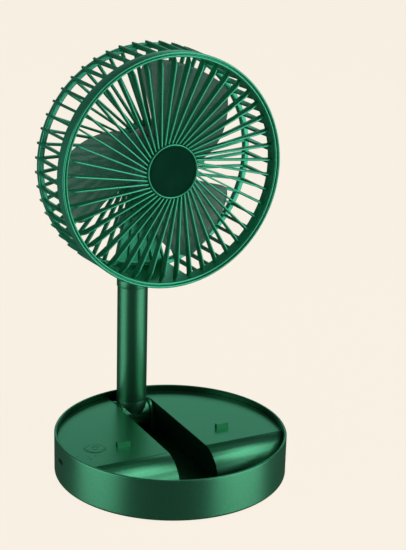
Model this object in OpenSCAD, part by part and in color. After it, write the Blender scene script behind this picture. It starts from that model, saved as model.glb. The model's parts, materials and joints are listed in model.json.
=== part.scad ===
// Folding desk fan: a round base with a trench, a telescoping pole that folds into it,
// and a caged fan head that tilts flat over the base. Millimetres, +Z up, fan facing -Y.
// The origin is the centre of the base's underside.

/* [Base] */
// Outer radius of the base housing
base_r = 89; // [89:0.5:92]
// Height of the base housing's rim above the table
base_h = 33; // [32:0.5:34]
// Thickness of the base housing's wall
wall_t = 2.2; // [1.8:0.1:2.4]
// Height of the flat deck above the table
deck_z = 28.5; // [28:0.1:28.5]
// Inner width of the trench that the pole folds into
trench_w = 31.5; // [31.5:0.1:33]
// Radius of the deck's rounded front slope
slope_r = 24; // [23:0.5:24]

/* [Pole] */
// Distance of the pole's axis behind the base's centre
pole_y = 73; // [73:0.1:73]
// Height of the base hinge above the table
fold_z = 17.5; // [17.5:0.1:17.6]
// Outer radius of the lower tube
outer_tube_r = 12.1; // [11.9:0.1:12.1]
// Outer radius of the sliding upper tube
inner_tube_r = 10; // [9.8:0.1:10]
// Height of the head's tilt hinge with the pole extended
tilt_z = 179.2; // [178:0.1:182]

/* [Head] */
// Height of the fan's axis above the tilt hinge
head_rise = 55; // [55:0.1:55]
// Outer radius of the front ring
ring_r = 87.3; // [86:0.1:87.5]
// Number of spokes in the front grille
front_spokes = 45; // [30:1:48]
// Number of ribs round the cage and spokes in its back
cage_ribs = 51; // [36:1:54]
// Sideways offset of the spokes from a true radius
spoke_offset = 8.3; // [0:0.1:9]
// Radius of the hub ring in the middle of the front grille
hub_r = 20.2; // [19:0.1:21]

/* [Rotor] */
// Number of blades
blade_count = 3; // [2:1:4]
// Radius of the blade tips
blade_r = 76; // [66:0.5:77]
// Radius of the impeller's hub
rotor_hub_r = 19.5; // [19:0.1:20]

/* [Hidden] */
$fn = 96;
green = [0.10, 0.38, 0.27];
dark_green = [0.03, 0.16, 0.11];
smoke = [0.35, 0.45, 0.42];
steel = [0.72, 0.73, 0.75];
black = [0.08, 0.08, 0.08];

// Base levels and radii
plate_z = 1;
plate_t = 2;
floor_z = 4.5;
floor_under = plate_z + plate_t;
deck_t = 2;
wall_r = base_r - wall_t;
deck_r = wall_r - 0.4;
trench_x = trench_w / 2;
trench_wall = 2;
slope_y = -26;
crest = 0.15;
edge_r = 2;
ledge_t = 2;

// Deck features
button_x = -63;
button_r = 7.7;
button_gap = 0.35;
tab_x = 42;
tab_y = -4.5;
tab_size = [10.4, 3];
tab_h = 3.8;
light_spots = [[-81, -8], [-73, -12], [-68, -12], [-73, -16]];
light_r = 0.6;
boss_spots = [[58, 39], [-58, 39], [-50, -42], [50, -42]];
boss_r = 3.4;
screw_r = 1.4;

// Inside the base
cell_x = 42;
cell_r = 9.2;
cell_l = 65;
cell_y = -20;
cell_z = 12.4;
board_z = 17.6;
board_t = 1.6;
port_angle = -2.5;
port_z = 20.9;
port_w = 9;
port_h = 3.3;

// Pole
pin_r = 2.5;
running = 0.05;
barrel_r = 11.3;
barrel_half = 12.15;
barrel_flat = 11.4;
foot_ball_z = 24.5;
washer_r = 5;
bracket_in = 12.5;
bracket_r = 11.6;
tube_wall = 1;
outer_bottom = 31;
outer_top = 130;
collar_top = 133;
collar_r = 12.6;
inner_bottom = 78;
inner_top = 168;
slider_l = 12;
tongue_r = 8.5;
tongue_half = 5;
ear_in = 5.3;
ear_t = 4;

// Head, measured along Y from the front of the ring to the back of the cage
axis_z = tilt_z + head_rise;
ring_front = 0.3;
ring_back = 11.2;
ring_in = 83.4;
cage_back = 53;
cage_t = 3.4;
cage_ring_in = 83;
cage_ring_out = 87;
ring_depth = 5;
rib_r = 88.4;
rib_t = 1.9;
spoke_t = 1.3;
rear_spoke_t = 1.8;
first_rib = 5.7;
saddle_ribs = [35, 39];
saddle_r = [83.6, 86.2];
boss_plate_r = 29.5;
arm_t = 3.8;
arm_y = cage_back + 0.2;
arm_half = 12;
arm_disc_r = 26;
catch_z = axis_z + tab_y;
catch_size = [14.4, 8.6];
catch_end = cage_back + 8;
catch_depth = 3.7;

// Motor and rotor
shaft_r = 1.5;
can_r = 17.4;
hub_front = 14.5;
hub_back = 40;
blade_front = 15;
blade_depth = 21.5;
blade_rake = 7;

// ---------- helpers ----------

// A cylinder along X, centred on x = 0
module x_cylinder(r, half) {
    rotate([0, 90, 0]) cylinder(r = r, h = 2 * half, center = true);
}

// A cylinder along Y from y0 to y1 on the fan's axis
module axis_cylinder(r, y0, y1) {
    translate([0, y0, axis_z]) rotate([-90, 0, 0]) cylinder(r = r, h = y1 - y0);
}

// A tube along Y on the fan's axis
module axis_tube(r_out, r_in, y0, y1) {
    difference() {
        axis_cylinder(r_out, y0, y1);
        axis_cylinder(r_in, y0 - 1, y1 + 1);
    }
}

// A plain upright tube on the pole's axis
module pole_tube(r_out, r_in, z0, z1) {
    translate([0, pole_y, z0]) difference() {
        cylinder(r = r_out, h = z1 - z0);
        translate([0, 0, -1]) cylinder(r = r_in, h = z1 - z0 + 2);
    }
}

// Children drawn once on each side of the middle plane
module both_sides() {
    children();
    mirror([1, 0, 0]) children();
}

// Children turned about the fan's axis, count times; angle 0 points along +X
module round_axis(count, first) {
    for (i = [0 : count - 1])
        translate([0, 0, axis_z]) rotate([0, -(first + i * 360 / count), 0]) children();
}

// A flat fin of a profile of [radius, y] points, standing off a true radius by offset
module fin(points, thickness, offset) {
    translate([0, 0, offset + thickness / 2]) rotate([180, 0, 0])
        linear_extrude(thickness) polygon([for (p = points) [p[0], -p[1]]]);
}

// ---------- base ----------

// Outline in Y and Z of the solid under the deck's skin of thickness t, down to z0.
// The arc stands crest above the flat, so the two meet at a slight, clean edge.
module slope_outline(t, z0) {
    intersection() {
        union() {
            translate([slope_y, floor_z]) circle(r = slope_r + crest - t);
            translate([slope_y, 0]) square([base_r - slope_y + 1, base_h]);
        }
        translate([-base_r, z0]) square([2 * base_r + 1, deck_z - t - z0]);
    }
}

// An outline in Y and Z drawn out along X from x0 to x1
module along_x(x0, x1) {
    translate([x0, 0, 0]) rotate([90, 0, 90]) linear_extrude(x1 - x0) children();
}

module base_shell() {
    color(green) difference() {
        union() {
            rotate_extrude() polygon(concat(
                [[wall_r, plate_z], [base_r - edge_r, plate_z]],
                [for (a = [-75 : 15 : 0])
                    [base_r - edge_r + edge_r * cos(a), plate_z + edge_r + edge_r * sin(a)]],
                [[base_r, base_h - 0.8], [base_r - 0.3, base_h - 0.25], [base_r - 0.8, base_h],
                 [wall_r + 0.6, base_h], [wall_r, base_h - 0.6]]));
            difference() {
                translate([0, 0, deck_z - deck_t - ledge_t]) cylinder(r = wall_r + 0.3, h = ledge_t);
                translate([0, 0, deck_z - deck_t - ledge_t - 1]) cylinder(r = wall_r - 2, h = 4);
                translate([-100, -100, 0]) cube([200, 100 + slope_y + 6, base_h]);
                translate([-trench_x - 4, 0, 0]) cube([2 * trench_x + 8, 100, base_h]);
            }
        }
        rotate([0, 0, port_angle]) port_hole();
    }
}

// Rounded slot through the wall for the charging port
module port_hole() {
    r = port_h / 2 + 0.15;
    half = port_w / 2 - r + 0.15;
    translate([-base_r - 1, 0, port_z]) rotate([0, 90, 0]) {
        for (s = [-1, 1])
            translate([0, s * half, 0]) cylinder(r = r, h = wall_t + 4, $fn = 32);
        translate([-r, -half, 0]) cube([2 * r, 2 * half, wall_t + 4]);
    }
}

module top_deck() {
    color(green) difference() {
        union() {
            intersection() {
                translate([0, 0, floor_under]) cylinder(r = deck_r, h = base_h);
                union() {
                    difference() {
                        along_x(-base_r - 1, base_r + 1) slope_outline(0, floor_under);
                        both_sides() along_x(trench_x + trench_wall, base_r + 2)
                            slope_outline(deck_t, floor_under - 1);
                    }
                    translate([-base_r, -base_r - 1, floor_under - 1])
                        cube([2 * base_r, base_r + 1 + slope_y - slope_r + 1, floor_z - floor_under + 1]);
                }
            }
            intersection() {
                for (p = boss_spots)
                    translate([p[0], p[1], floor_under]) cylinder(r = boss_r, h = base_h, $fn = 32);
                along_x(-base_r, base_r) slope_outline(deck_t / 2, 0);
            }
            both_sides() upright_tab();
        }
        translate([-trench_x, -base_r, floor_z]) cube([trench_w, 2 * base_r, base_h]);
        translate([button_x, 0, deck_z - deck_t - 1])
            cylinder(r = button_r + button_gap, h = deck_t + 2);
        for (p = light_spots)
            translate([p[0], p[1], deck_z - deck_t - 1]) cylinder(r = light_r, h = deck_t + 2, $fn = 24);
        for (p = boss_spots)
            translate([p[0], p[1], 0]) cylinder(r = screw_r, h = floor_under + 9, $fn = 24);
    }
}

// A short tab standing on the deck, which the folded head drops over
module upright_tab() {
    translate([tab_x - tab_size[0] / 2, tab_y - tab_size[1] / 2, deck_z - 1])
        cube([tab_size[0], tab_size[1], tab_h + 1]);
}

module bottom_plate() {
    color(dark_green) difference() {
        union() {
            translate([0, 0, plate_z]) cylinder(r = wall_r - 0.3, h = plate_t);
            for (p = [[-60, -8], [-60, 20], [-78, 8]])
                translate([p[0], p[1], floor_under - 0.5])
                    cylinder(r = 2.2, h = board_z - floor_under + 0.5, $fn = 24);
        }
        for (p = boss_spots)
            translate([p[0], p[1], 0]) cylinder(r = 1.7, h = 5, $fn = 24);
        for (p = boss_spots)
            translate([p[0], p[1], 0]) cylinder(r = 3.2, h = plate_z + 1.1, $fn = 24);
    }
}

module rubber_feet() {
    color(black) for (a = [45 : 90 : 315])
        rotate([0, 0, a]) translate([base_r - 12, 0, 0]) cylinder(r = 7, h = plate_z, $fn = 48);
}

module bottom_screws() {
    color(steel) for (p = boss_spots) translate([p[0], p[1], plate_z + 0.1]) {
        difference() {
            cylinder(r = 2.8, h = 1, $fn = 32);
            for (a = [0, 90])
                rotate([0, 0, a]) translate([-1.6, -0.3, -1]) cube([3.2, 0.6, 1.6]);
        }
        cylinder(r = screw_r, h = 9, $fn = 24);
    }
}

module battery_cell() {
    color("seagreen") translate([cell_x, cell_y, cell_z]) rotate([-90, 0, 0]) {
        cylinder(r = cell_r, h = cell_l);
        translate([0, 0, cell_l]) cylinder(r = 3, h = 1);
    }
}

module battery_cell_left() { mirror([1, 0, 0]) battery_cell(); }
module battery_cell_right() { battery_cell(); }

module battery_holder() {
    color(black) difference() {
        translate([cell_x - 10.6, cell_y - 3, floor_under]) cube([21.2, cell_l + 7, 7]);
        translate([cell_x, cell_y - 0.5, cell_z])
            rotate([-90, 0, 0]) cylinder(r = cell_r + 0.1, h = cell_l + 2);
    }
}

module battery_holder_left() { mirror([1, 0, 0]) battery_holder(); }
module battery_holder_right() { battery_holder(); }

module control_board() {
    color("darkgreen") rotate([0, 0, port_angle]) translate([-83, -21, board_z])
        cube([28, 43, board_t]);
}

// A metal shell of the port's oval section, with its tongue, on the board's edge
module usb_socket() {
    r = port_h / 2;
    color(steel) rotate([0, 0, port_angle]) translate([-base_r + 0.8, 0, port_z])
        rotate([0, 90, 0]) {
            difference() {
                oval_bar(r, port_w / 2 - r, 7.4);
                translate([0, 0, -1]) oval_bar(r - 0.35, port_w / 2 - r, 7.4);
            }
            translate([-0.35, -3.3, 1]) cube([0.7, 6.6, 6]);
        }
}

module oval_bar(r, half, h) {
    for (s = [-1, 1])
        translate([0, s * half, 0]) cylinder(r = r, h = h, $fn = 32);
    translate([-r, -half, 0]) cube([2 * r, 2 * half, h]);
}

module power_switch() {
    color(black) translate([button_x, 0, board_z + board_t]) {
        translate([-3, -3, 0]) cube([6, 6, 1.6]);
        cylinder(r = 1.7, h = 2.3, $fn = 32);
    }
}

module indicator_lights() {
    color("white") for (p = light_spots)
        translate([p[0], p[1], board_z + board_t])
            cylinder(r = light_r - 0.02, h = deck_z - board_z - board_t - 0.1, $fn = 24);
}

// One cheek of the base hinge, round-topped about the pin, beside the pole's barrel
module hinge_bracket() {
    color(green) difference() {
        translate([bracket_in, 0, 0]) rotate([90, 0, 90]) linear_extrude(trench_x - bracket_in) union() {
            translate([pole_y, fold_z]) circle(r = bracket_r);
            translate([pole_y - bracket_r + 0.05, floor_z])
                square([2 * bracket_r - 0.1, fold_z - floor_z]);
        }
        translate([0, pole_y, fold_z]) x_cylinder(pin_r, 40);
    }
}

module hinge_bracket_right() { hinge_bracket(); }
module hinge_bracket_left() { mirror([1, 0, 0]) hinge_bracket(); }

module fold_pin() {
    color(steel) translate([0, pole_y, fold_z]) x_cylinder(pin_r, trench_x);
}

module fold_washers() {
    color(steel) both_sides() difference() {
        translate([barrel_flat + 0.15, pole_y, fold_z]) rotate([0, 90, 0])
            cylinder(r = washer_r, h = bracket_in - barrel_flat - 0.15);
        translate([0, pole_y, fold_z]) x_cylinder(pin_r, 40);
    }
}

// ---------- power button ----------

module power_button() {
    color(green) difference() {
        translate([button_x, 0, 0]) {
            translate([0, 0, deck_z - 3]) cylinder(r = button_r, h = 3.3);
            translate([0, 0, deck_z - deck_t - 1.8]) cylinder(r = button_r + 1.4, h = 1.5);
            translate([0, 0, board_z + board_t + 3.3])
                cylinder(r = 1.6, h = deck_z - board_z - board_t - 5, $fn = 32);
        }
        translate([button_x, 0, deck_z]) power_symbol();
    }
}

// A broken circle and a bar, pressed into the button's face
module power_symbol() {
    difference() {
        cylinder(r = 3, h = 1, $fn = 48);
        translate([0, 0, -1]) cylinder(r = 2.3, h = 3, $fn = 48);
        translate([-1.1, 0, -1]) cube([2.2, 4, 3]);
    }
    translate([-0.35, 0.4, 0]) cube([0.7, 3.2, 1]);
    difference() {
        cylinder(r = 6.6, h = 1);
        translate([0, 0, -1]) cylinder(r = 6.2, h = 3);
    }
}

// ---------- pole ----------

module outer_tube() {
    color(green) pole_tube(outer_tube_r, outer_tube_r - tube_wall, outer_bottom, outer_top);
}

// The tube's round end on a barrel about the hinge pin, with a washer's recess each end
module pole_foot() {
    color(green) translate([0, pole_y, 0]) difference() {
        union() {
            translate([0, 0, fold_z]) rotate([0, 90, 0]) rotate_extrude() polygon([
                [0, -barrel_half], [barrel_r - 0.8, -barrel_half], [barrel_r, -barrel_half + 0.8],
                [barrel_r, barrel_half - 0.8], [barrel_r - 0.8, barrel_half], [0, barrel_half]]);
            rotate_extrude() polygon(concat(
                [for (a = [-90 : 6 : 0])
                    [outer_tube_r * cos(a), foot_ball_z + outer_tube_r * sin(a)]],
                [[outer_tube_r, outer_bottom], [0, outer_bottom]]));
            translate([0, 0, outer_bottom - 1])
                cylinder(r = outer_tube_r - tube_wall - 0.05, h = 8);
        }
        translate([0, 0, fold_z]) x_cylinder(pin_r + running, 40);
        both_sides() translate([barrel_flat, 0, fold_z]) rotate([0, 90, 0])
            cylinder(r = washer_r + 0.6, h = 10);
    }
}

module tube_collar() {
    color(green) difference() {
        pole_tube(collar_r, inner_tube_r + 0.1, 127, collar_top);
        pole_tube(outer_tube_r, 1, 126, outer_top);
    }
}

module guide_bush() {
    color(black)
        pole_tube(outer_tube_r - tube_wall - 0.03, inner_tube_r + running, outer_top - 14, outer_top);
}

module inner_tube() {
    color(green) pole_tube(inner_tube_r, inner_tube_r - tube_wall, inner_bottom, inner_top - 2);
}

module slide_bush() {
    color(black) pole_tube(outer_tube_r - tube_wall - running, inner_tube_r,
        inner_bottom, inner_bottom + slider_l);
}

module neck_knuckle() {
    color(green) translate([0, pole_y, 0]) difference() {
        union() {
            translate([0, 0, inner_top - 14])
                cylinder(r = inner_tube_r - tube_wall - 0.03, h = 13);
            translate([0, 0, inner_top - 2]) cylinder(r = inner_tube_r, h = 2);
            translate([-tongue_half, -tongue_r, inner_top - 0.5])
                cube([2 * tongue_half, 2 * tongue_r, tilt_z - inner_top + 0.5]);
            translate([0, 0, tilt_z]) x_cylinder(tongue_r, tongue_half);
        }
        translate([0, 0, tilt_z]) x_cylinder(pin_r + running, 40);
    }
}

// ---------- head ----------

module front_grille() {
    color(green) {
        translate([0, 0, axis_z]) rotate([-90, 0, 0]) rotate_extrude($fn = 180) polygon([
            [ring_in, ring_back], [ring_in, 1.9], [83.7, 1.2], [84.3, 0.9], [84.9, 1.3],
            [85.1, 2.2], [85.6, 2.2], [85.8, 1.0], [86.4, ring_front], [87, 0.8],
            [ring_r, 1.6], [ring_r, ring_back]]);
        axis_tube(hub_r, hub_r - 1.2, 4.9, 9.5);
        axis_cylinder(hub_r - 1.1, 7.5, 9.5);
        round_axis(front_spokes, 3.7) fin([[hub_r - 2, 9.4], [18.6, 7.6], [hub_r - 0.6, 5.5],
            [50, 4.4], [76, 3], [80, 4.2], [83, 7.6], [ring_in + 1.2, 8.6],
            [ring_in + 1.2, ring_back - 0.2], [50, 9.8]], spoke_t, spoke_offset);
    }
}

module hub_badge() {
    color(dark_green) difference() {
        axis_cylinder(hub_r - 1.25, 5.1, 7.5);
        axis_tube(17.7, 17.3, 4, 5.35);
    }
}

// The back half of the cage: open ribs round the side, spokes and a boss plate at the back
module rear_cage() {
    color(green) difference() {
        union() {
            axis_tube(cage_ring_out - 0.2, cage_ring_in + 0.9, ring_back, ring_back + 2.4);
            axis_tube(cage_ring_out, cage_ring_in, cage_back - ring_depth, cage_back);
            axis_cylinder(boss_plate_r, cage_back - cage_t, cage_back);
            round_axis(cage_ribs, first_rib) fin([[84.4, ring_back + 0.1], [87, ring_back + 0.1],
                [rib_r, cage_back - 7.4], [rib_r, cage_back], [84.2, cage_back]], rib_t, 0);
            round_axis(cage_ribs, first_rib + asin(spoke_offset / 84)) fin([
                [boss_plate_r - 3, cage_back - ring_depth + 0.2], [84, cage_back - ring_depth + 0.2],
                [84, cage_back - 0.1], [boss_plate_r - 3, cage_back - 0.1]],
                rear_spoke_t, -spoke_offset);
            saddle_panel();
            saddle_wall();
            both_sides() latch_catch();
        }
        motor_screw_holes(1.5, cage_back - cage_t - 1, cage_back + 1);
    }
}

// An outline in X and Z about the fan's axis drawn out along Y from y0 to y1
module along_y(y0, y1) {
    translate([0, y1, axis_z]) rotate([90, 0, 0]) linear_extrude(y1 - y0) children();
}

function rib_angle(k) = first_rib + k * 360 / cage_ribs;

// A point at distance s along the back spoke that ends on rib k
function spoke_point(s, k) = let (a = rib_angle(k) + asin(spoke_offset / 84))
    [s * cos(a) + spoke_offset * sin(a), s * sin(a) - spoke_offset * cos(a)];

// The closed panel between the back spokes over the neck
module saddle_panel() {
    along_y(cage_back - 3, cage_back - 0.2) polygon(concat(
        [for (k = [saddle_ribs[0] : saddle_ribs[1]]) spoke_point(84, k)],
        [for (k = [saddle_ribs[1] : -1 : saddle_ribs[0]]) spoke_point(boss_plate_r - 4, k)]));
}

// The closed stretch of the cage's side under the panel, between the same ribs
module saddle_wall() {
    reach = 100;
    intersection() {
        axis_tube(saddle_r[1], saddle_r[0], ring_back + 1, cage_back - 1);
        along_y(ring_back, cage_back) polygon(concat([[0, 0]],
            [for (k = saddle_ribs) [reach * cos(rib_angle(k)), reach * sin(rib_angle(k))]]));
    }
}

// A block whose pocket drops over the deck's tab when the fan is folded
module latch_catch() {
    difference() {
        catch_box(catch_size, cage_back - 3, catch_end);
        catch_box(tab_size + [0.9, 2.6], catch_end - catch_depth, catch_end + 1);
    }
}

module catch_box(size, y0, y1) {
    translate([tab_x - size[0] / 2, y0, catch_z - size[1] / 2]) cube([size[0], y1 - y0, size[1]]);
}

module motor_screw_holes(r, y0, y1) {
    for (a = [90, 210, 330])
        translate([20 * cos(a), y0, axis_z + 20 * sin(a)])
            rotate([-90, 0, 0]) cylinder(r = r, h = y1 - y0, $fn = 24);
}

// Plate across the cage's back with two ears that straddle the neck
module arm_bracket() {
    low = tilt_z - tongue_r;
    color(green) difference() {
        union() {
            axis_cylinder(arm_disc_r, arm_y, arm_y + arm_t);
            translate([-arm_half, arm_y, low]) cube([2 * arm_half, arm_t, axis_z - low]);
            both_sides() {
                translate([ear_in, pole_y, tilt_z]) rotate([0, 90, 0])
                    cylinder(r = tongue_r, h = ear_t);
                translate([ear_in, arm_y + 1, low]) cube([ear_t, pole_y - arm_y - 1, 2 * tongue_r]);
            }
        }
        translate([0, pole_y, tilt_z]) x_cylinder(pin_r, 40);
        motor_screw_holes(1.7, arm_y - 1, arm_y + arm_t + 1);
        motor_screw_holes(3.2, arm_y + arm_t - 1.8, arm_y + arm_t + 1);
    }
}

module arm_screws() {
    color(steel) {
        motor_screw_holes(1.45, cage_back - 8.4, arm_y + arm_t - 1.6);
        motor_screw_holes(3, arm_y + arm_t - 1.7, arm_y + arm_t - 0.2);
    }
}

module tilt_pin() {
    color(steel) translate([0, pole_y, tilt_z]) {
        translate([-10, 0, 0]) rotate([0, 90, 0]) cylinder(r = pin_r, h = 23);
        translate([-12, 0, 0]) rotate([0, 90, 0]) cylinder(r = 4.4, h = 2);
    }
}

module tilt_washers() {
    color(steel) both_sides() translate([ear_in + ear_t, pole_y, tilt_z]) rotate([0, 90, 0])
        difference() {
            cylinder(r = 5, h = 0.7);
            translate([0, 0, -1]) cylinder(r = pin_r, h = 3);
        }
}

module tilt_nut() {
    color(steel) translate([ear_in + ear_t + 0.7, pole_y, tilt_z]) rotate([0, 90, 0])
        difference() {
            cylinder(r = 4.6, h = 2.6, $fn = 6);
            translate([0, 0, -1]) cylinder(r = pin_r, h = 5, $fn = 96);
        }
}

// Flange on the boss plate and a sleeve that carries the stator and the shaft's bearings
module motor_mount() {
    color(steel) difference() {
        union() {
            axis_cylinder(26, cage_back - cage_t - 3, cage_back - cage_t);
            axis_cylinder(5.5, 22, cage_back - cage_t - 1);
        }
        axis_cylinder(3.5, 21, cage_back - cage_t + 1);
        motor_screw_holes(1.45, 40, cage_back);
    }
}

// Laminated core: a hub with poles that end in wide shoes
module motor_stator() {
    color("brown") difference() {
        union() {
            axis_cylinder(8.5, 24, 36);
            for (a = [0 : 40 : 320]) translate([0, 24, axis_z]) rotate([0, a, 0]) {
                translate([7, 0, -1.4]) cube([7.5, 12, 2.8]);
                translate([13.2, 0, -3.6]) cube([1.6, 12, 7.2]);
            }
        }
        axis_cylinder(5.5, 20, 40);
    }
}

module motor_bearings() {
    color(steel) {
        axis_tube(3.5, shaft_r + running, 22, 26);
        axis_tube(3.5, shaft_r + running, cage_back - 9.4, cage_back - 5.4);
    }
}

// ---------- rotor ----------

// Angle of a blade's front and back edges at the fraction t of its span
function low_angle(t) = 4.3 + 43.7 * pow(t, 1.4);
function high_angle(t) = 92 + 8.2 * t - 11.2 * pow(t, 16);

// A point of a blade's skin: t runs from hub to tip, u from the front edge to the back edge
function blade_point(t, u, side) = let (
    a = low_angle(t) + (high_angle(t) - low_angle(t)) * u,
    half = 0.35 + 1.6 * u * (1 - u),
    y = blade_front + blade_rake * t + blade_depth * (u + 0.25 * u * (1 - u)) + side * half,
    root = rotor_hub_r - 0.9,
    r = root + (blade_r - root) * t
) [r * cos(a), y, r * sin(a)];

// One swept, pitched blade as a closed skin over a grid of span and chord steps
module blade() {
    spans = [0, 0.1, 0.22, 0.35, 0.48, 0.61, 0.73, 0.83, 0.9, 0.96, 1];
    steps = 10;
    rows = len(spans);
    cols = steps + 1;
    count = rows * cols;
    points = [for (side = [-1, 1]) for (t = spans) for (j = [0 : steps])
        blade_point(t, j / steps, side)];
    skin = [for (i = [0 : rows - 2]) for (j = [0 : steps - 1])
        let (p = i * cols + j) each [[p, p + 1, p + cols], [p + 1, p + cols + 1, p + cols]]];
    border = concat(
        [for (j = [0 : steps - 1]) [j, j + 1]],
        [for (i = [0 : rows - 2]) [i * cols + steps, (i + 1) * cols + steps]],
        [for (j = [steps - 1 : -1 : 0]) [(rows - 1) * cols + j + 1, (rows - 1) * cols + j]],
        [for (i = [rows - 2 : -1 : 0]) [(i + 1) * cols, i * cols]]);
    faces = concat(
        [for (t = skin) [t[0], t[1], t[2]]],
        [for (t = skin) [t[0] + count, t[2] + count, t[1] + count]],
        [for (e = border) each [[e[1], e[0], e[1] + count], [e[1] + count, e[0], e[0] + count]]]);
    polyhedron(points = points, faces = faces);
}

module impeller() {
    color(smoke) difference() {
        union() {
            axis_tube(rotor_hub_r, can_r + 0.05, hub_front, hub_back);
            axis_cylinder(rotor_hub_r - 0.5, hub_front, hub_front + 2);
            axis_cylinder(4, hub_front, hub_front + 6);
            for (i = [0 : blade_count - 1])
                translate([0, 0, axis_z]) rotate([0, -i * 360 / blade_count, 0]) blade();
        }
        axis_cylinder(shaft_r, hub_front + 1, 60);
    }
}

module rotor_can() {
    color(steel) axis_tube(can_r, can_r - 1.6, 20, 38.5);
}

module motor_shaft() {
    color(steel) axis_cylinder(shaft_r, hub_front + 1, cage_back - 4.4);
}

base_shell();
top_deck();
bottom_plate();
rubber_feet();
bottom_screws();
battery_cell_left();
battery_cell_right();
battery_holder_left();
battery_holder_right();
control_board();
usb_socket();
power_switch();
indicator_lights();
hinge_bracket_left();
hinge_bracket_right();
fold_pin();
fold_washers();
power_button();
outer_tube();
pole_foot();
tube_collar();
guide_bush();
inner_tube();
slide_bush();
neck_knuckle();
front_grille();
hub_badge();
rear_cage();
arm_bracket();
arm_screws();
tilt_pin();
tilt_washers();
tilt_nut();
motor_mount();
motor_stator();
motor_bearings();
impeller();
rotor_can();
motor_shaft();
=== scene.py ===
"""Looks of a folding desk fan: round base, telescoping pole, caged head with three blades.

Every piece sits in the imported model's own frame: metres, +Z up, the fan facing -Y.
Lengths named in millimetres are turned into metres where a mesh is made, and angles are in
degrees. An outline's points are [radius, depth] about the fan's axis.
"""

import json
import math

import bmesh
import bpy
from mathutils import Matrix, Vector


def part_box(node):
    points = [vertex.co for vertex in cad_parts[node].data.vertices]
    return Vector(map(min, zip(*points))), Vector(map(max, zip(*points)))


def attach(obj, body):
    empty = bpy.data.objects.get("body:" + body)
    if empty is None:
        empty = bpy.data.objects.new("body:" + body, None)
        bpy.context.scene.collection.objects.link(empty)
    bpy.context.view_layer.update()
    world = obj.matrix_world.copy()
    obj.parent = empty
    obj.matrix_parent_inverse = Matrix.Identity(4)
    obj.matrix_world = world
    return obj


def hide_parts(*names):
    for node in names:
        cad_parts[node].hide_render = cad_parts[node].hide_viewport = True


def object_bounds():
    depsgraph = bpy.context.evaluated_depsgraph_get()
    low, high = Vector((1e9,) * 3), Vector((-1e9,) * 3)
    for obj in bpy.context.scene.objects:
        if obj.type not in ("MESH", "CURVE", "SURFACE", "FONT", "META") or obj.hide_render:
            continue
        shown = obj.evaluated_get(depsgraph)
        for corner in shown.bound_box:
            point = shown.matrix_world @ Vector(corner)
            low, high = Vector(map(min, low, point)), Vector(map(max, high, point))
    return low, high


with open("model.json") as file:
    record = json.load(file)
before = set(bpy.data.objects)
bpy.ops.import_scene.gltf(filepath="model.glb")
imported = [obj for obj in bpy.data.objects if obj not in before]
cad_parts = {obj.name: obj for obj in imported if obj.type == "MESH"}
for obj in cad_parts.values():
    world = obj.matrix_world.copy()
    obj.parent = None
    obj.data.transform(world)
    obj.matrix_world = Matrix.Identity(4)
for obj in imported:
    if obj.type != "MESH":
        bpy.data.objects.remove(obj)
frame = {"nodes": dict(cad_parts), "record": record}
nodes = frame["nodes"]
cad_low, cad_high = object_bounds()

MM = 0.001

# The fan's axis, in metres, from the front grille's own box
grille_low, grille_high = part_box("front_grille")
AXIS_X = (grille_low.x + grille_high.x) / 2
AXIS_Z = (grille_low.z + grille_high.z) / 2

# The base, in millimetres: its wall's inner face, and the trench below the deck's rounded edge; both
# are darkened with painted shade
BASE_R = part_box("base_shell")[1].x / MM
WALL_INSIDE = (BASE_R - 2.7, BASE_R - 1.9)
TAB_H = 3.8
DECK_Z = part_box("top_deck")[1].z / MM - TAB_H
TRENCH_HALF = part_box("hinge_bracket_right")[1].x / MM + 0.05
TRENCH_TOP = DECK_Z - 0.9

# The front grille, in millimetres
RING_R = (grille_high.x - grille_low.x) / 2 / MM
RING_IN = RING_R - 3.9
RING_BACK = 11.2
BEAD_R = 0.85
INNER_BEAD_Y = 1.85
OUTER_BEAD_Y = 1.3
GROOVE_Y = 2.6
GROOVE_INSET = 1.75
HUB_R = (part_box("hub_badge")[1].x - AXIS_X) / MM + 1.25
HUB_LIP_R = 0.6
HUB_BACK = 9.5
PLATE_HOLE = 0.5
SPOKES = 45
SPOKE_FIRST = 3.7
SPOKE_OFFSET = 8.3
SPOKE_T = 1.3
SPOKE_MIDDLE = 50

# A front spoke's bend, in millimetres: where it starts, how far it runs out and falls back, and
# the power of its fall
BEND_START = (76, 3)
BEND_RUN = 7
BEND_FALL = 4.6
BEND_CURVE = 2.2

# The rear cage, in millimetres
CAGE_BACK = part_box("arm_bracket")[0].y / MM - 0.2
cage_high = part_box("rear_cage")[1]
RIBS = 51
RIB_FIRST = 5.7
RIB_T = 1.9
RIB_R = (cage_high.z - AXIS_Z) / MM
RIB_IN = 84.4
RIB_FRONT_R = 87
RIB_STRAIGHT = 7.4
COLLAR_IN = 83.9
COLLAR_OUT = 86.8
COLLAR_BACK = RING_BACK + 2.4
BAND_IN = 83
BAND_OUT = 87
BAND_DEPTH = 5
BAND_EDGE = 0.7
BOSS_R = 29.5
BOSS_T = 3.4
BOSS_EDGE = 0.8
REAR_SPOKE_T = 1.8
REAR_SPOKE_IN = BOSS_R - 3
REAR_SPOKE_OUT = 84

# The saddle over the neck, in millimetres; its twist is a share of the back spokes' lean
SADDLE_RIBS = (35, 39)
SADDLE_IN = 83.8
SADDLE_OUT = 86
SADDLE_T = 3
SADDLE_BEND = 4
SADDLE_TWIST = 2.2

# The two catches on the cage's back, in millimetres
CATCH_X = 42
CATCH_Z = AXIS_Z / MM - 4.5
CATCH_SIZE = (14.4, 8.6)
CATCH_END = cage_high.y / MM
CATCH_ROOT = 3
CATCH_DEPTH = 3.7
CATCH_WALL = 1.5
CATCH_EDGE = 0.35

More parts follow.
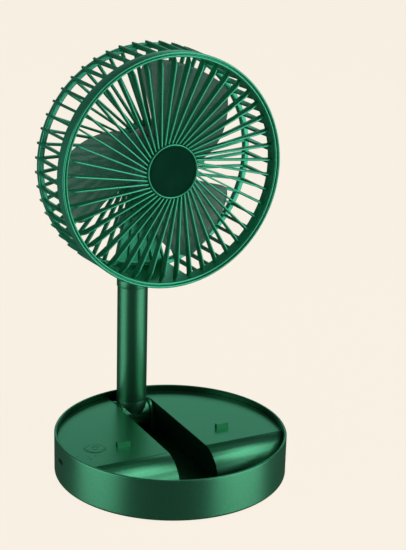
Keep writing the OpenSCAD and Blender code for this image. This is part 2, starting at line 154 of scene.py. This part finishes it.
# The impeller, in millimetres
BLADES = 3
BLADE_R = 76
BLADE_FRONT = 15
BLADE_DEPTH = 21.5
BLADE_RAKE = 7
ROTOR_R = 19.5
ROTOR_IN = 17.45
ROTOR_EDGE = 2
ROTOR_T = 2
ROTOR_HOLE = 0.3
ROTOR_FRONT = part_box("impeller")[0].y / MM
ROTOR_BACK = 40
BLADE_ROOT_R = ROTOR_R - 0.7

# A blade's outline: the angles of its two edges from root to tip, and the corner cut at its tip
LOW_ROOT = 4.3
LOW_SWEEP = 43.7
LOW_CURVE = 1.4
HIGH_ROOT = 92
HIGH_SWEEP = 8.2
CORNER_CUT = 11.2
CORNER_POWER = 16

# A blade's section: half its thickness at an edge and how it swells between the edges, in
# millimetres, how late it thins towards its side edges and its tip, and its camber
EDGE_HALF = 0.35
BELLY = 1.6
SIDE_POWER = 30
TIP_POWER = 60
CAMBER = 0.25

# Rounded edges of the moulded CAD parts that show, in millimetres
EDGE_WIDTHS = {
    "top_deck": 0.8, "pole_foot": 0.8, "hinge_bracket_left": 0.6, "hinge_bracket_right": 0.6,
    "neck_knuckle": 0.6, "arm_bracket": 0.6, "tube_collar": 0.3, "power_button": 0.15,
    "hub_badge": 0.12,
}


# ---------- materials ----------

class Nodes:
    """A material's node tree, with short calls to add and join its nodes."""

    def __init__(self, name):
        self.material = bpy.data.materials.new(name)
        self.material.use_nodes = True
        self.tree = self.material.node_tree
        self.shader = self.tree.nodes["Principled BSDF"]
        self.place = self.add("ShaderNodeTexCoord").outputs["Object"]

    def add(self, kind, **settings):
        """A new node with its settings."""
        node = self.tree.nodes.new(kind)
        for key, value in settings.items():
            setattr(node, key, value)
        return node

    def join(self, start, end):
        self.tree.links.new(start, end)

    def paint(self, **values):
        """Plain values and colours on the shader's own inputs."""
        for key, value in values.items():
            self.shader.inputs[key.replace("_", " ")].default_value = value

    def noise(self, scale, detail=2.0):
        """Noise over the object's own place, about 0.5 on average."""
        node = self.add("ShaderNodeTexNoise")
        node.inputs["Scale"].default_value = scale
        node.inputs["Detail"].default_value = detail
        self.join(self.place, node.inputs["Vector"])
        return node.outputs["Fac"]

    def ramp(self, fac, stops):
        """A colour between two stops, each a place and a colour."""
        node = self.add("ShaderNodeValToRGB")
        for element, (at, colour) in zip(node.color_ramp.elements, stops):
            element.position = at
            element.color = (*colour, 1)
        self.join(fac, node.inputs["Fac"])
        return node.outputs["Color"]

    def span(self, fac, low, high):
        """A number between low and high, where fac runs from 0 to 1."""
        node = self.add("ShaderNodeMapRange")
        node.inputs["To Min"].default_value = low
        node.inputs["To Max"].default_value = high
        self.join(fac, node.inputs["Value"])
        return node.outputs["Result"]

    def math(self, operation, *values):
        """A sum on numbers or other nodes' outputs."""
        node = self.add("ShaderNodeMath", operation=operation)
        for slot, value in zip(node.inputs, values):
            if isinstance(value, float):
                slot.default_value = value
            else:
                self.join(value, slot)
        return node.outputs["Value"]

    def xyz(self):
        """The object's own place, as three outputs."""
        node = self.add("ShaderNodeSeparateXYZ")
        self.join(self.place, node.inputs["Vector"])
        return node.outputs

    def deepen(self, colour, inside, share):
        """The colour, darkened to a share of itself where inside is 1."""
        node = self.add("ShaderNodeVectorMath", operation="SCALE")
        self.join(colour, node.inputs["Vector"])
        self.join(self.span(inside, 1.0, share), node.inputs["Scale"])
        return node.outputs["Vector"]

    def bump(self, height, distance, strength=1.0):
        """Relief on the shader's normal; its distance is in metres."""
        node = self.add("ShaderNodeBump")
        node.inputs["Distance"].default_value = distance
        node.inputs["Strength"].default_value = strength
        self.join(height, node.inputs["Height"])
        self.join(node.outputs["Normal"], self.shader.inputs["Normal"])


def shade(colour, share):
    return tuple(c * share for c in colour)


def painted_wall_shade(n):
    """1 on the inner face of the base housing's wall, 0 on its rim and outside; it marks where painted
    shade darkens the wall.
    """
    x, y, _ = n.xyz()
    spread = n.math("SQRT", n.math("ADD", n.math("MULTIPLY", x, x), n.math("MULTIPLY", y, y)))
    low, high = WALL_INSIDE
    below = n.math("LESS_THAN", spread, high * MM)
    return n.math("MULTIPLY", below, n.math("GREATER_THAN", spread, low * MM))


def painted_trench_shade(n):
    """1 between the deck's trench walls, 0 elsewhere; it marks where painted shade darkens the trench.
    """
    x, _, z = n.xyz()
    between = n.math("LESS_THAN", n.math("ABSOLUTE", x), TRENCH_HALF * MM)
    return n.math("MULTIPLY", between, n.math("LESS_THAN", z, TRENCH_TOP * MM))


def metallic_paint(name, colour, rough, metallic, drift=0.04, painted_shade=None):
    """Satin metallic paint: tiny flakes shift its tint, and a fine grain breaks its gloss.

    Where a mask is given, the tint is darkened in the recess it picks out: painted shade.
    """
    n = Nodes(name)
    flakes = n.noise(scale=2600, detail=1)
    tint = n.ramp(flakes, [(0.35, shade(colour, 0.84)), (0.65, shade(colour, 1.14))])
    # Painted shade: the tint is darkened where the mask marks a recess.
    if painted_shade:
        tint = n.deepen(tint, painted_shade(n), share=0.35)
    n.join(tint, n.shader.inputs["Base Color"])
    cloud = n.noise(scale=38, detail=3)
    n.join(n.span(cloud, rough - drift, rough + drift), n.shader.inputs["Roughness"])
    n.bump(n.noise(scale=900), distance=0.00002, strength=0.35)
    n.paint(Metallic=metallic)
    return n.material


def smoky_plastic(name, colour):
    """Gloss moulded plastic, faintly cloudy, that lets some light through."""
    n = Nodes(name)
    cloud = n.noise(scale=45, detail=3)
    tint = n.ramp(cloud, [(0.3, shade(colour, 0.92)), (0.7, shade(colour, 1.08))])
    n.join(tint, n.shader.inputs["Base Color"])
    n.join(n.span(n.noise(scale=120), 0.22, 0.32), n.shader.inputs["Roughness"])
    n.paint(IOR=1.46, Alpha=0.84)
    return n.material


def hub_gloss(name, colour):
    """Dark glossy metal foil, as on the hub's disc."""
    n = Nodes(name)
    tint = n.ramp(n.noise(scale=60), [(0.3, shade(colour, 0.85)), (0.7, shade(colour, 1.15))])
    n.join(tint, n.shader.inputs["Base Color"])
    n.join(n.span(n.noise(scale=300), 0.14, 0.2), n.shader.inputs["Roughness"])
    n.paint(Metallic=1.0)
    return n.material


def grained(name, colour, rough, grain=1800, depth=0.00004, metallic=0.0):
    """Moulded plastic, rubber or plated metal with a fine even grain."""
    n = Nodes(name)
    cloud = n.noise(scale=220, detail=3)
    tint = n.ramp(cloud, [(0.3, shade(colour, 0.85)), (0.7, shade(colour, 1.15))])
    n.join(tint, n.shader.inputs["Base Color"])
    n.join(n.span(n.noise(scale=500), rough - 0.06, rough + 0.06), n.shader.inputs["Roughness"])
    n.bump(n.noise(grain), distance=depth, strength=0.5)
    n.paint(Metallic=metallic)
    return n.material


def laminated(name, colour):
    """A stack of thin sheets: fine stripes along the fan's axis."""
    n = Nodes(name)
    waves = n.add("ShaderNodeTexWave", bands_direction="Y")
    waves.inputs["Scale"].default_value = 420
    n.join(n.place, waves.inputs["Vector"])
    tint = n.ramp(waves.outputs["Fac"], [(0.2, shade(colour, 0.55)), (0.7, colour)])
    n.join(tint, n.shader.inputs["Base Color"])
    n.bump(waves.outputs["Fac"], distance=0.0001)
    n.paint(Metallic=0.6, Roughness=0.5)
    return n.material


GREEN = (0.085, 0.40, 0.215)
GRILLE_GREEN = (0.065, 0.52, 0.3)

# The base wall's inner face gets painted shade.
body_paint = metallic_paint("body_paint", GREEN, rough=0.34, metallic=0.95, painted_shade=painted_wall_shade)
# The deck's trench gets painted shade.
deck_paint = metallic_paint("deck_paint", shade(GREEN, 0.95), rough=0.33, metallic=0.95,
                            drift=0.01, painted_shade=painted_trench_shade)
tube_paint = metallic_paint("tube_paint", shade(GREEN, 0.82), rough=0.38, metallic=0.95, drift=0.01)

MATERIALS = {
    "body_green": body_paint,
    "deck_green": deck_paint,
    "button_green": deck_paint,
    "tube_green": tube_paint,
    "grille_green": metallic_paint("grille_paint", GRILLE_GREEN, rough=0.34, metallic=0.85),
    "blade_smoke": smoky_plastic("blade_plastic", (0.075, 0.25, 0.19)),
    "hub_gloss": hub_gloss("hub_gloss_green", (0.002, 0.02, 0.0105)),
    "steel": grained("turned_steel", (0.6, 0.61, 0.63), rough=0.3, grain=2400, depth=0.00002,
                     metallic=1.0),
    "zinc": grained("zinc_plate", (0.55, 0.56, 0.57), rough=0.38, grain=1500, depth=0.00003,
                    metallic=1.0),
    "rubber": grained("rubber_black", (0.018, 0.018, 0.018), rough=0.75),
    "plate_dark": grained("plate_plastic", (0.012, 0.055, 0.035), rough=0.5, grain=1500,
                          depth=0.00008),
    "black_plastic": grained("black_plastic", (0.02, 0.02, 0.022), rough=0.45),
    "cell_wrap": grained("cell_wrap", (0.03, 0.16, 0.09), rough=0.3),
    "pcb": grained("circuit_board", (0.01, 0.09, 0.035), rough=0.4),
    "lens": grained("light_pipe", (0.02, 0.06, 0.045), rough=0.35),
    "motor_iron": laminated("laminated_core", (0.28, 0.22, 0.19)),
}


def paint_cad_nodes():
    """Gives every CAD node the material of its slot in the record."""
    for entry in frame["record"]["subparts"]:
        slots = nodes[entry["node"]].data.materials
        slots.clear()
        slots.append(MATERIALS[entry["material_slot"]])


# ---------- mesh making ----------

def on_axis(radius, angle, y, offset=0.0):
    """A point from its radius, angle from +X towards +Z, depth and sideways offset, in mm."""
    a = math.radians(angle)
    return Vector((
        AXIS_X + (radius * math.cos(a) - offset * math.sin(a)) * MM,
        y * MM,
        AXIS_Z + (radius * math.sin(a) + offset * math.cos(a)) * MM,
    ))


def piece(name, mesh, slot, body, *stands_for, crease=35):
    """Adds a finished piece: smooth but for its sharp edges, painted, and riding on its body."""
    obj = bpy.data.objects.new(name, mesh)
    bpy.context.scene.collection.objects.link(obj)
    mesh.materials.append(MATERIALS[slot])
    mesh.shade_smooth()
    mesh.set_sharp_from_angle(angle=math.radians(crease))
    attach(obj, body)
    if stands_for:
        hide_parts(*stands_for)


def mesh_of(name, points, faces):
    mesh = bpy.data.meshes.new(name)
    mesh.from_pydata(points, [], faces)
    mesh.validate()
    return mesh


def arc(centre, radius, start, end, steps):
    """Outline points on an arc from the start angle to the end one, round a centre."""
    return [
        (centre[0] + radius * math.cos(math.radians(start + (end - start) * i / steps)),
         centre[1] + radius * math.sin(math.radians(start + (end - start) * i / steps)))
        for i in range(steps + 1)
    ]


def outward(mesh):
    """Turns every face outward."""
    bm = bmesh.new()
    bm.from_mesh(mesh)
    bmesh.ops.recalc_face_normals(bm, faces=bm.faces)
    bm.to_mesh(mesh)
    bm.free()


def lathe(outlines, segments):
    """Closed outlines turned about the fan's axis, as one mesh."""
    points, faces = [], []
    for outline in outlines:
        start, count = len(points), len(outline)
        for i in range(segments):
            angle = 360 * i / segments
            points.extend(on_axis(r, angle, y) for r, y in outline)
        for i in range(segments):
            here, there = start + i * count, start + (i + 1) % segments * count
            for j in range(count):
                k = (j + 1) % count
                faces.append((here + j, here + k, there + k, there + j))
    mesh = mesh_of("lathe", points, faces)
    outward(mesh)
    return mesh


def extrude(bm, face, vec):
    """Draws a copy of a face out along a vector, and leaves the face itself in place."""
    grown = bmesh.ops.extrude_face_region(bm, geom=[face])["geom"]
    moved = [v for v in grown if isinstance(v, bmesh.types.BMVert)]
    bmesh.ops.translate(bm, vec=vec, verts=moved)


def bevel(bm, edges, width, segments):
    """Rounds edges."""
    bmesh.ops.bevel(bm, geom=edges, offset=width, segments=segments, profile=0.5,
                    affect="EDGES", clamp_overlap=True)


def drain(bm):
    """The points and faces of a bmesh, which is freed."""
    points = [v.co.copy() for v in bm.verts]
    faces = [[v.index for v in f.verts] for f in bm.faces]
    bm.free()
    return points, faces


def fin(outline, thickness, rounding, segments=2):
    """Points and faces of a flat bar with rounded edges, centred on a true radius, in mm."""
    bm = bmesh.new()
    low = [bm.verts.new((r, y, -thickness / 2)) for r, y in outline]
    extrude(bm, bm.faces.new(low), (0, 0, thickness))
    bmesh.ops.recalc_face_normals(bm, faces=bm.faces)
    rims = [e for e in bm.edges if e.is_manifold and e.calc_face_angle() > math.radians(60)
            and abs(e.verts[0].co.z - e.verts[1].co.z) < thickness / 2]
    bevel(bm, rims, rounding, segments)
    return drain(bm)


def ring_of(shape, count, first, offset):
    """One mesh of a bar repeated round the axis, each standing off a true radius by offset."""
    points, faces = [], []
    for i in range(count):
        start = len(points)
        angle = first + i * 360 / count
        points.extend(on_axis(p.x, angle, p.y, p.z + offset) for p in shape[0])
        faces.extend([start + k for k in face] for face in shape[1])
    return mesh_of("bars", points, faces)


# ---------- front grille ----------

def front_ring():
    """The ring, with two round beads in front and a groove between them."""
    inner = (RING_IN + BEAD_R, INNER_BEAD_Y)
    outer = (RING_R - BEAD_R, OUTER_BEAD_Y)
    outline = [(RING_IN, RING_BACK)] + arc(inner, BEAD_R, 180, 355, 10)
    outline += [(RING_IN + GROOVE_INSET, GROOVE_Y), (RING_R - GROOVE_INSET, GROOVE_Y)]
    outline += arc(outer, BEAD_R, 185, 360, 10)
    outline += [(RING_R, RING_BACK - 0.4), (RING_R - 0.4, RING_BACK)]
    piece("front_ring", lathe([outline], 320), "grille_green", "head", "front_grille", crease=40)


def front_spokes():
    """The spokes from the hub to the ring, bending back as they near the ring."""
    r, y = BEND_START
    bend = [(r + BEND_RUN * t, y + BEND_FALL * t ** BEND_CURVE)
            for t in (0.0, 0.25, 0.45, 0.62, 0.76, 0.88, 1.0)]
    end = RING_IN + 1.2
    side = [(HUB_R - 2, 9.2), (HUB_R - 1.2, 5.6), (HUB_R + 2, 5.4), (SPOKE_MIDDLE, 4.4)] + bend
    side += [(end, 8.6), (end, RING_BACK - 0.3), (SPOKE_MIDDLE, 9.8)]
    spokes = ring_of(fin(side, SPOKE_T, 0.5, 3), SPOKES, SPOKE_FIRST, SPOKE_OFFSET)
    piece("front_spokes", spokes, "grille_green", "head", crease=50)


def hub_ring():
    """The ring round the hub's disc, and the plate behind it, open by a pinhole on the axis."""
    inner, front = HUB_R - 1.15, 5.4
    ring = [(inner, HUB_BACK), (inner, front)]
    ring += arc((HUB_R - HUB_LIP_R, front - 0.3), HUB_LIP_R, 180, 360, 8) + [(HUB_R, HUB_BACK)]
    edge, face = HUB_R - 1.1, 7.55
    plate = [(PLATE_HOLE, face), (edge, face), (edge, HUB_BACK), (PLATE_HOLE, HUB_BACK)]
    piece("hub_ring", lathe([ring, plate], 160), "grille_green", "head")


# ---------- rear cage ----------

def rib_angle(k):
    return RIB_FIRST + k * 360 / RIBS


def spoke_lean():
    """How far a back spoke's own direction is turned from the rib it ends on."""
    return math.degrees(math.asin(SPOKE_OFFSET / REAR_SPOKE_OUT))


def rear_rings():
    """The collar behind the front ring, the back's outer band and its boss plate."""
    collar = [(COLLAR_IN, RING_BACK), (COLLAR_OUT, RING_BACK), (COLLAR_OUT, COLLAR_BACK - 0.4),
              (COLLAR_OUT - 0.4, COLLAR_BACK), (COLLAR_IN, COLLAR_BACK)]
    inner, outer = BAND_IN + BAND_EDGE, BAND_OUT - BAND_EDGE
    near, far = CAGE_BACK - BAND_DEPTH + BAND_EDGE, CAGE_BACK - BAND_EDGE
    band = []
    for centre, start in (((inner, near), 180), ((outer, near), 270), ((outer, far), 0),
                          ((inner, far), 90)):
        band += arc(centre, BAND_EDGE, start, start + 90, 4)
    front = CAGE_BACK - BOSS_T
    plate = [(PLATE_HOLE, front), (BOSS_R - 0.5, front), (BOSS_R, front + 0.5)]
    plate += arc((BOSS_R - BOSS_EDGE, CAGE_BACK - BOSS_EDGE), BOSS_EDGE, 0, 90, 4)
    plate += [(PLATE_HOLE, CAGE_BACK)]
    piece("rear_rings", lathe([collar, band, plate], 256), "grille_green", "head", "rear_cage")


def side_ribs():
    """The ribs from the collar to the back's outer band, each a little proud of both."""
    front = RING_BACK + 0.1
    rib = [(RIB_IN, front), (RIB_FRONT_R, front), (RIB_R, CAGE_BACK - RIB_STRAIGHT),
           (RIB_R, CAGE_BACK), (RIB_IN - 0.2, CAGE_BACK)]
    piece("side_ribs", ring_of(fin(rib, RIB_T, 0.4), RIBS, RIB_FIRST, 0), "grille_green", "head")


def rear_spokes():
    """The back's spokes, one to each rib, leaning the other way from the front ones."""
    near, far = CAGE_BACK - BAND_DEPTH + 0.2, CAGE_BACK - 0.1
    bar = [(REAR_SPOKE_IN, near), (REAR_SPOKE_OUT, near), (REAR_SPOKE_OUT, far),
           (REAR_SPOKE_IN, far)]
    spokes = ring_of(fin(bar, REAR_SPOKE_T, 0.5), RIBS, RIB_FIRST + spoke_lean(), -SPOKE_OFFSET)
    piece("rear_spokes", spokes, "grille_green", "head")


def saddle():
    """The closed panel and side wall over the neck, between two ribs, as one bent sheet."""
    steps = 24
    first, last = (rib_angle(k) for k in SADDLE_RIBS)
    back, front = CAGE_BACK - 0.3, RING_BACK + 1
    bend = (SADDLE_IN - SADDLE_BEND, CAGE_BACK - SADDLE_T - SADDLE_BEND)
    outline = [(REAR_SPOKE_IN, back), (SADDLE_OUT - 1.4, back), (SADDLE_OUT, CAGE_BACK - 1.6),
               (SADDLE_OUT, front), (SADDLE_IN, front), (SADDLE_IN, bend[1])]
    outline += arc(bend, SADDLE_BEND, 0, 90, 6) + [(REAR_SPOKE_IN, CAGE_BACK - SADDLE_T)]
    count = len(outline)
    points, faces = [], []
    for i in range(steps + 1):
        angle = first + (last - first) * i / steps
        for r, y in outline:
            inward = 1 - min(1, (r - BOSS_R) / (REAR_SPOKE_OUT - BOSS_R))
            points.append(on_axis(r, angle - SADDLE_TWIST * spoke_lean() * inward, y))
    for start in range(0, steps * count, count):
        for j in range(count):
            k = (j + 1) % count
            faces.append((start + j, start + k, start + count + k, start + count + j))
    faces += [tuple(range(count)), tuple(range(steps * count, steps * count + count))]
    mesh = mesh_of("saddle", points, faces)
    outward(mesh)
    piece("neck_saddle", mesh, "grille_green", "head")


def catch():
    """Points and faces of a block round x = 0 with a pocket in its far end, in mm."""
    width, height = CATCH_SIZE
    length = CATCH_END - CAGE_BACK + CATCH_ROOT
    bm = bmesh.new()
    bmesh.ops.create_cube(bm, size=1)
    bmesh.ops.scale(bm, vec=(width, length, height), verts=bm.verts)
    bmesh.ops.translate(bm, vec=(0, CATCH_END - length / 2, CATCH_Z), verts=bm.verts)
    end = max(bm.faces, key=lambda f: f.calc_center_median().y)
    bmesh.ops.inset_region(bm, faces=[end], thickness=CATCH_WALL)
    extrude(bm, end, (0, -CATCH_DEPTH, 0))
    bmesh.ops.delete(bm, geom=[end], context="FACES_ONLY")
    bmesh.ops.recalc_face_normals(bm, faces=bm.faces)
    bevel(bm, bm.edges[:], CATCH_EDGE, 2)
    return drain(bm)


def latch_catches():
    """Two blocks on the cage's back whose pockets drop over the deck's tabs."""
    points, faces = [], []
    shape, skin = catch()
    for x in (-CATCH_X, CATCH_X):
        start = len(points)
        points += [(p + Vector((x, 0, 0))) * MM for p in shape]
        faces += [[start + k for k in face] for face in skin]
    piece("latch_catches", mesh_of("latch_catches", points, faces), "grille_green", "head")


# ---------- impeller ----------

def blade_point(t, u, side):
    """A point's radius, angle and depth on a blade's front (-1) or back (1) skin.

    t is its share of the span from root to tip, and u its share of the chord.
    """
    low = LOW_ROOT + LOW_SWEEP * t ** LOW_CURVE
    high = HIGH_ROOT + HIGH_SWEEP * t - CORNER_CUT * t ** CORNER_POWER
    thin = math.sqrt(max(1 - abs(2 * u - 1) ** SIDE_POWER, 0)) * math.sqrt(max(1 - t ** TIP_POWER, 0))
    half = (EDGE_HALF + BELLY * u * (1 - u)) * thin
    slope = BLADE_DEPTH * (u + CAMBER * u * (1 - u))
    depth = BLADE_FRONT + BLADE_RAKE * t + slope + side * half
    return BLADE_ROOT_R + (BLADE_R - BLADE_ROOT_R) * t, low + (high - low) * u, depth


def blade_skin():
    """Points and faces of one blade, its front and back skins meeting round the edge."""
    rows, cols = 40, 36
    spans = [math.sin(math.pi / 2 * i / rows) for i in range(rows + 1)]
    chord = [0.5 - 0.5 * math.cos(math.pi * j / cols) for j in range(cols + 1)]
    points = [blade_point(t, u, side) for side in (-1, 1) for t in spans for u in chord]
    width, half = cols + 1, (rows + 1) * (cols + 1)
    faces = []
    for i in range(rows):
        for j in range(cols):
            p = i * width + j
            faces.append((p, p + 1, p + width + 1, p + width))
            faces.append((p + half, p + half + width, p + half + width + 1, p + half + 1))
    return points, faces


def blades():
    """The blades as one closed mesh."""
    points, faces = [], []
    skin, skin_faces = blade_skin()
    for i in range(BLADES):
        start = len(points)
        points.extend(on_axis(r, angle + i * 360 / BLADES, y) for r, angle, y in skin)
        faces.extend([start + k for k in face] for face in skin_faces)
    mesh = mesh_of("blades", points, faces)
    bm = bmesh.new()
    bm.from_mesh(mesh)
    bmesh.ops.remove_doubles(bm, verts=bm.verts, dist=0.02 * MM)
    bmesh.ops.holes_fill(bm, edges=[e for e in bm.edges if e.is_boundary])
    bmesh.ops.recalc_face_normals(bm, faces=bm.faces)
    bm.to_mesh(mesh)
    bm.free()
    piece("blades", mesh, "blade_smoke", "rotor", "impeller", crease=60)


def rotor_hub():
    """The impeller's cup-shaped hub, closed in front but for a pinhole on the axis."""
    inside = ROTOR_FRONT + ROTOR_T
    hub = [(ROTOR_IN, ROTOR_BACK), (ROTOR_IN, inside), (ROTOR_HOLE, inside), (ROTOR_HOLE, ROTOR_FRONT)]
    hub += arc((ROTOR_R - ROTOR_EDGE, ROTOR_FRONT + ROTOR_EDGE), ROTOR_EDGE, 270, 360, 6)
    hub += [(ROTOR_R, ROTOR_BACK)]
    piece("rotor_hub", lathe([hub], 160), "blade_smoke", "rotor")


def soften_edges():
    """Gives the moulded CAD parts that show small rounded edges."""
    for name, width in EDGE_WIDTHS.items():
        part = nodes[name]
        weld = part.modifiers.new("weld", "WELD")
        weld.merge_threshold = 0.004 * MM
        rounded = part.modifiers.new("edges", "BEVEL")
        rounded.width = width * MM
        rounded.segments = 3
        rounded.limit_method = "ANGLE"
        rounded.angle_limit = math.radians(40)
        rounded.use_clamp_overlap = True
        rounded.harden_normals = True


paint_cad_nodes()
front_ring()
front_spokes()
hub_ring()
rear_rings()
side_ribs()
rear_spokes()
saddle()
latch_catches()
blades()
rotor_hub()
soften_edges()


# ---------- stage, lights and camera ----------

CREAM = (0.93, 0.86, 0.755)
FLOOR_R = 9.0
CAMERA_AZIMUTH = -27.754
CAMERA_ELEVATION = 17.82
CAMERA_ROLL = 1.601
CAMERA_LENS = 88.35
CAMERA_DISTANCE = 1.046249
CAMERA_AIM = (0.02563, 0.149403)


def away(azimuth, elevation):
    """The direction out from the fan at an azimuth from -Y towards +X and an elevation."""
    a, e = math.radians(azimuth), math.radians(elevation)
    return Vector((math.sin(a) * math.cos(e), -math.cos(a) * math.cos(e), math.sin(e)))


def place_camera():
    """Camera from its angles and distance; the aim is the frame centre's place in its plane."""
    azimuth, roll = math.radians(CAMERA_AZIMUTH), math.radians(CAMERA_ROLL)
    level = Vector((math.cos(azimuth), math.sin(azimuth), 0))
    back = away(CAMERA_AZIMUTH, CAMERA_ELEVATION)
    upright = back.cross(level)
    right = math.cos(roll) * level + math.sin(roll) * upright
    up = math.cos(roll) * upright - math.sin(roll) * level
    data = bpy.data.cameras.new("camera")
    data.lens = CAMERA_LENS
    data.clip_start, data.clip_end = 0.01, 100
    camera = bpy.data.objects.new("camera", data)
    camera.matrix_world = Matrix.Translation(
        right * CAMERA_AIM[0] + up * CAMERA_AIM[1] + back * CAMERA_DISTANCE
    ) @ Matrix((right, up, back)).transposed().to_4x4()
    bpy.context.scene.collection.objects.link(camera)
    bpy.context.scene.camera = camera


def floor():
    """A wide pale disc under the rubber feet, whose even glow all but hides shadows on it."""
    count = 96
    turns = [2 * math.pi * i / count for i in range(count)]
    rim = [(FLOOR_R * math.cos(a), FLOOR_R * math.sin(a), 0) for a in turns]
    mesh = mesh_of("floor", rim, [list(range(count))])
    n = Nodes("floor_cream")
    tint = n.ramp(n.noise(scale=3), [(0.3, shade(CREAM, 0.05)), (0.7, shade(CREAM, 0.055))])
    n.join(tint, n.shader.inputs["Base Color"])
    n.paint(Roughness=0.9, Emission_Color=(*CREAM, 1), Emission_Strength=1.0, Specular_IOR_Level=0.0)
    mesh.materials.append(n.material)
    obj = bpy.data.objects.new("floor", mesh)
    obj.location.z = cad_low.z
    obj.visible_glossy = False
    obj.visible_shadow = False
    bpy.context.scene.collection.objects.link(obj)


def backdrop():
    """A cream surround for the camera, dimmer where the object reflects it."""
    world = bpy.data.worlds.new("studio")
    world.use_nodes = True
    tree = world.node_tree
    seen = tree.nodes["Background"]
    seen.inputs["Color"].default_value = (*CREAM, 1)
    seen.inputs["Strength"].default_value = 1.0
    reflected = tree.nodes.new("ShaderNodeBackground")
    reflected.inputs["Color"].default_value = (0.9, 0.95, 1, 1)
    reflected.inputs["Strength"].default_value = 0.05
    path = tree.nodes.new("ShaderNodeLightPath")
    mix = tree.nodes.new("ShaderNodeMixShader")
    tree.links.new(path.outputs["Is Camera Ray"], mix.inputs["Fac"])
    tree.links.new(reflected.outputs["Background"], mix.inputs[1])
    tree.links.new(seen.outputs["Background"], mix.inputs[2])
    tree.links.new(mix.outputs["Shader"], tree.nodes["World Output"].inputs["Surface"])
    bpy.context.scene.world = world


def softbox(name, azimuth, elevation, distance, size, power, tint=(1.0, 1.0, 1.0)):
    """A rectangular lamp aimed at the fan's middle; its azimuth is from the camera's side."""
    direction = away(azimuth + CAMERA_AZIMUTH, elevation)
    data = bpy.data.lights.new(name, "AREA")
    data.shape = "RECTANGLE"
    data.size, data.size_y = size
    data.energy = power
    data.color = tint
    lamp = bpy.data.objects.new(name, data)
    lamp.location = (cad_low + cad_high) / 2 + direction * distance
    lamp.rotation_mode = "QUATERNION"
    lamp.rotation_quaternion = direction.to_track_quat("Z", "Y")
    lamp.visible_camera = False
    bpy.context.scene.collection.objects.link(lamp)


place_camera()
floor()
backdrop()
softbox("top_light", azimuth=78, elevation=55, distance=1.4, size=(0.9, 0.7), power=4)
softbox("left_light", azimuth=-69, elevation=0, distance=1.4, size=(1.25, 1.7), power=8)
softbox("right_light", azimuth=71, elevation=0, distance=1.4, size=(1.5, 1.7), power=11)
softbox("back_light", azimuth=180, elevation=17, distance=1.7, size=(2.2, 0.5), power=2.5,
        tint=(0.58, 1.0, 0.9))
bpy.context.scene.view_settings.view_transform = "Standard"
